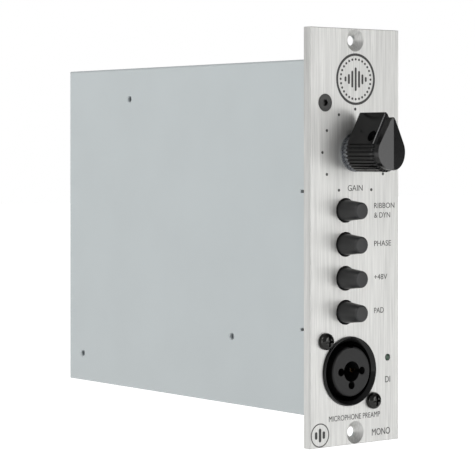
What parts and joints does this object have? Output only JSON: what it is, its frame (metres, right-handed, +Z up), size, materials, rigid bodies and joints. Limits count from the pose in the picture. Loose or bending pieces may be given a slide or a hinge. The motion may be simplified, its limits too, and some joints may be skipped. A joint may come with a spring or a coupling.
{
  "type": "microphone preamp module",
  "caption": "Microphone preamp module: brushed panel with pointer knob, push buttons and round input socket, on a folded case with a card-edge tab.",
  "frame": {"origin": "centre of the front panel's rear face, midway between the two rack screw holes", "axes": "+X right seen from the front, +Y into the rack towards the card-edge tab, +Z up along the panel"},
  "size_m": [0.0382, 0.1673, 0.1334],
  "materials": {
    "brushed_panel": "brushed vertically, clear anodised",
    "case_paint": "smooth satin grey paint",
    "zinc_steel": "bright zinc",
    "black_oxide": "black oxide, satin",
    "knob_black": "polished black",
    "cap_black": "satin black",
    "socket_black": "moulded black, semi gloss",
    "socket_core": "dark grey, satin",
    "switch_plastic": "moulded dark grey",
    "white_plastic": "off-white nylon",
    "board_green": "solder resist",
    "gold_contact": "gold plated",
    "brass_turned": "turned brass",
    "contact_bronze": "bare bronze",
    "blued_steel": "blued, dull",
    "tinned_pin": "tinned",
    "lamp_green": "unlit green lens",
    "core_steel": "laminated steel",
    "can_metal": "drawn nickel alloy",
    "winding_tape": "yellow tape over copper",
    "cable_grey": "flat cable sheath",
    "resistor_blue": "lacquered",
    "capacitor_sleeve": "shrink sleeve",
    "film_red": "dipped",
    "trimmer_blue": "moulded"
  },
  "bodies": {
    "module": {"front_panel": "brushed_panel", "panel_screw": "blued_steel", "panel_nut": "zinc_steel", "chassis_tray": "case_paint", "side_cover": "case_paint", "cover_screws": "black_oxide", "cover_nuts": "zinc_steel", "main_pcb": "board_green", "edge_contacts": "gold_contact", "pcb_standoffs": "case_paint", "pcb_screws": "zinc_steel", "component_pins": "tinned_pin", "gain_bushing": "zinc_steel", "gain_washer": "zinc_steel", "gain_nut": "zinc_steel", "gain_switch_housing": "switch_plastic", "gain_switch_terminals": "tinned_pin", "gain_board": "board_green", "push_switch_housings": "switch_plastic", "jack_housing": "socket_black", "jack_insert": "socket_core", "pin_contacts": "contact_bronze", "plug_contacts": "tinned_pin", "jack_terminals": "tinned_pin", "jack_screws": "black_oxide", "jack_board": "board_green", "jack_header": "switch_plastic", "pcb_header": "switch_plastic", "ribbon_cable": "cable_grey", "di_led": "lamp_green", "di_led_leads": "tinned_pin", "input_transformer_can": "can_metal", "input_transformer_coil": "winding_tape", "input_transformer_base": "switch_plastic", "output_transformer_core": "core_steel", "output_transformer_bobbin": "white_plastic", "output_transformer_winding": "winding_tape", "output_transformer_clamp": "zinc_steel", "amplifier_block": "switch_plastic", "amplifier_block_sockets": "gold_contact", "resistors": "resistor_blue", "resistor_leads": "tinned_pin", "electrolytic_capacitors": "capacitor_sleeve", "film_capacitors": "film_red", "relays": "white_plastic", "voltage_regulators": "switch_plastic", "trimmer": "trimmer_blue"},
    "gain_control": {"gain_knob": "knob_black", "gain_knob_insert": "brass_turned", "gain_knob_grub_screw": "black_oxide", "gain_shaft": "zinc_steel", "gain_rotor": "white_plastic"},
    "ribbon_button": {"ribbon_button_cap": "cap_black", "ribbon_button_plunger": "white_plastic"},
    "phase_button": {"phase_button_cap": "cap_black", "phase_button_plunger": "white_plastic"},
    "phantom_button": {"phantom_button_cap": "cap_black", "phantom_button_plunger": "white_plastic"},
    "pad_button": {"pad_button_cap": "cap_black", "pad_button_plunger": "white_plastic"}
  },
  "joints": [
    {"name": "gain_turn", "type": "hinge", "parent": "module", "child": "gain_control", "pos_m": [0, 0, 0.027], "axis": [0, 1, 0], "range_deg": [-150, 150]},
    {"name": "ribbon_push", "type": "slide", "parent": "module", "child": "ribbon_button", "axis": [0, 1, 0], "range_m": [0, 0.003], "stiffness_N_per_m": 400, "springref_m": -0.004},
    {"name": "phase_push", "type": "slide", "parent": "module", "child": "phase_button", "axis": [0, 1, 0], "range_m": [0, 0.003], "stiffness_N_per_m": 400, "springref_m": -0.004},
    {"name": "phantom_push", "type": "slide", "parent": "module", "child": "phantom_button", "axis": [0, 1, 0], "range_m": [0, 0.003], "stiffness_N_per_m": 400, "springref_m": -0.004},
    {"name": "pad_push", "type": "slide", "parent": "module", "child": "pad_button", "axis": [0, 1, 0], "range_m": [0, 0.003], "stiffness_N_per_m": 400, "springref_m": -0.004}
  ]
}
